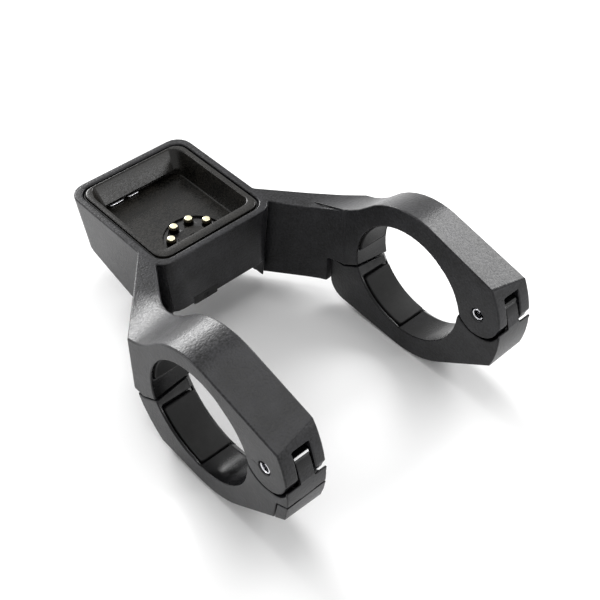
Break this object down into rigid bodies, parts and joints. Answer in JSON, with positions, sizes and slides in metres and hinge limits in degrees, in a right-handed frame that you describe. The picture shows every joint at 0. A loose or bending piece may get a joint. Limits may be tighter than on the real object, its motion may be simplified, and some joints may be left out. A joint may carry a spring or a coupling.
{
  "type": "handlebar display dock",
  "caption": "Handlebar dock for a cycling display: square cradle with sprung contacts, carried on splayed plate arms that end in hinged ring clamps for the bar.",
  "frame": {"origin": "on the handlebar axis, midway between the clamps", "axes": "+X along the handlebar, +Y from the clamp hinges to the cradle, +Z square to the cradle rim and up"},
  "size_m": [0.0734, 0.1043, 0.043],
  "materials": {
    "housing_plastic": "fine grained charcoal moulding",
    "tray_plastic": "smooth dark grey moulding",
    "seal_rubber": "matt black",
    "carrier_plastic": "smooth black moulding",
    "contact_gold": "gold plated",
    "barrel_brass": "turned brass",
    "spring_steel": "drawn wire",
    "board_laminate": "solder mask",
    "magnet_plating": "nickel plated",
    "cover_plastic": "fine grained charcoal moulding",
    "screw_steel": "blackened steel",
    "pin_steel": "bright steel",
    "grommet_rubber": "matt black",
    "pad_rubber": "matt black"
  },
  "bodies": {
    "frame": {"housing": "housing_plastic", "dock_tray": "tray_plastic", "tray_seal": "seal_rubber", "contact_carrier": "carrier_plastic", "contact_barrel_1": "barrel_brass", "contact_barrel_2": "barrel_brass", "contact_barrel_3": "barrel_brass", "contact_barrel_4": "barrel_brass", "contact_spring_1": "spring_steel", "contact_spring_2": "spring_steel", "contact_spring_3": "spring_steel", "contact_spring_4": "spring_steel", "contact_board": "board_laminate", "retaining_magnet": "magnet_plating", "bottom_cover": "cover_plastic", "cover_screw_1": "screw_steel", "cover_screw_2": "screw_steel", "cover_screw_3": "screw_steel", "cover_screw_4": "screw_steel", "cable_grommet": "grommet_rubber", "left_hinge_pin": "pin_steel", "right_hinge_pin": "pin_steel", "left_threaded_insert": "barrel_brass", "right_threaded_insert": "barrel_brass", "left_upper_pad": "pad_rubber", "right_upper_pad": "pad_rubber"},
    "left_clamp": {"left_lower_clamp": "housing_plastic", "left_hinge_bush": "pin_steel", "left_clamp_screw": "screw_steel", "left_lower_pad": "pad_rubber", "left_corner_cap": "housing_plastic"},
    "right_clamp": {"right_lower_clamp": "housing_plastic", "right_hinge_bush": "pin_steel", "right_clamp_screw": "screw_steel", "right_lower_pad": "pad_rubber"},
    "contact_1": {"contact_plunger_1": "contact_gold"},
    "contact_2": {"contact_plunger_2": "contact_gold"},
    "contact_3": {"contact_plunger_3": "contact_gold"},
    "contact_4": {"contact_plunger_4": "contact_gold"}
  },
  "joints": [
    {"name": "left_clamp_hinge", "type": "hinge", "parent": "frame", "child": "left_clamp", "pos_m": [-0.03145, -0.02172, 0.00626], "axis": [-1, 0, 0], "range_deg": [0, 45]},
    {"name": "right_clamp_hinge", "type": "hinge", "parent": "frame", "child": "right_clamp", "pos_m": [0.03145, -0.02172, 0.00626], "axis": [-1, 0, 0], "range_deg": [0, 45]},
    {"name": "contact_1_press", "type": "slide", "parent": "frame", "child": "contact_1", "axis": [0, 0, -1], "range_m": [0, 0.0008], "stiffness_N_per_m": 600, "springref_m": -0.0006, "deforming": ["contact_spring_1"]},
    {"name": "contact_2_press", "type": "slide", "parent": "frame", "child": "contact_2", "axis": [0, 0, -1], "range_m": [0, 0.0008], "stiffness_N_per_m": 600, "springref_m": -0.0006, "deforming": ["contact_spring_2"]},
    {"name": "contact_3_press", "type": "slide", "parent": "frame", "child": "contact_3", "axis": [0, 0, -1], "range_m": [0, 0.0008], "stiffness_N_per_m": 600, "springref_m": -0.0006, "deforming": ["contact_spring_3"]},
    {"name": "contact_4_press", "type": "slide", "parent": "frame", "child": "contact_4", "axis": [0, 0, -1], "range_m": [0, 0.0008], "stiffness_N_per_m": 600, "springref_m": -0.0006, "deforming": ["contact_spring_4"]}
  ]
}
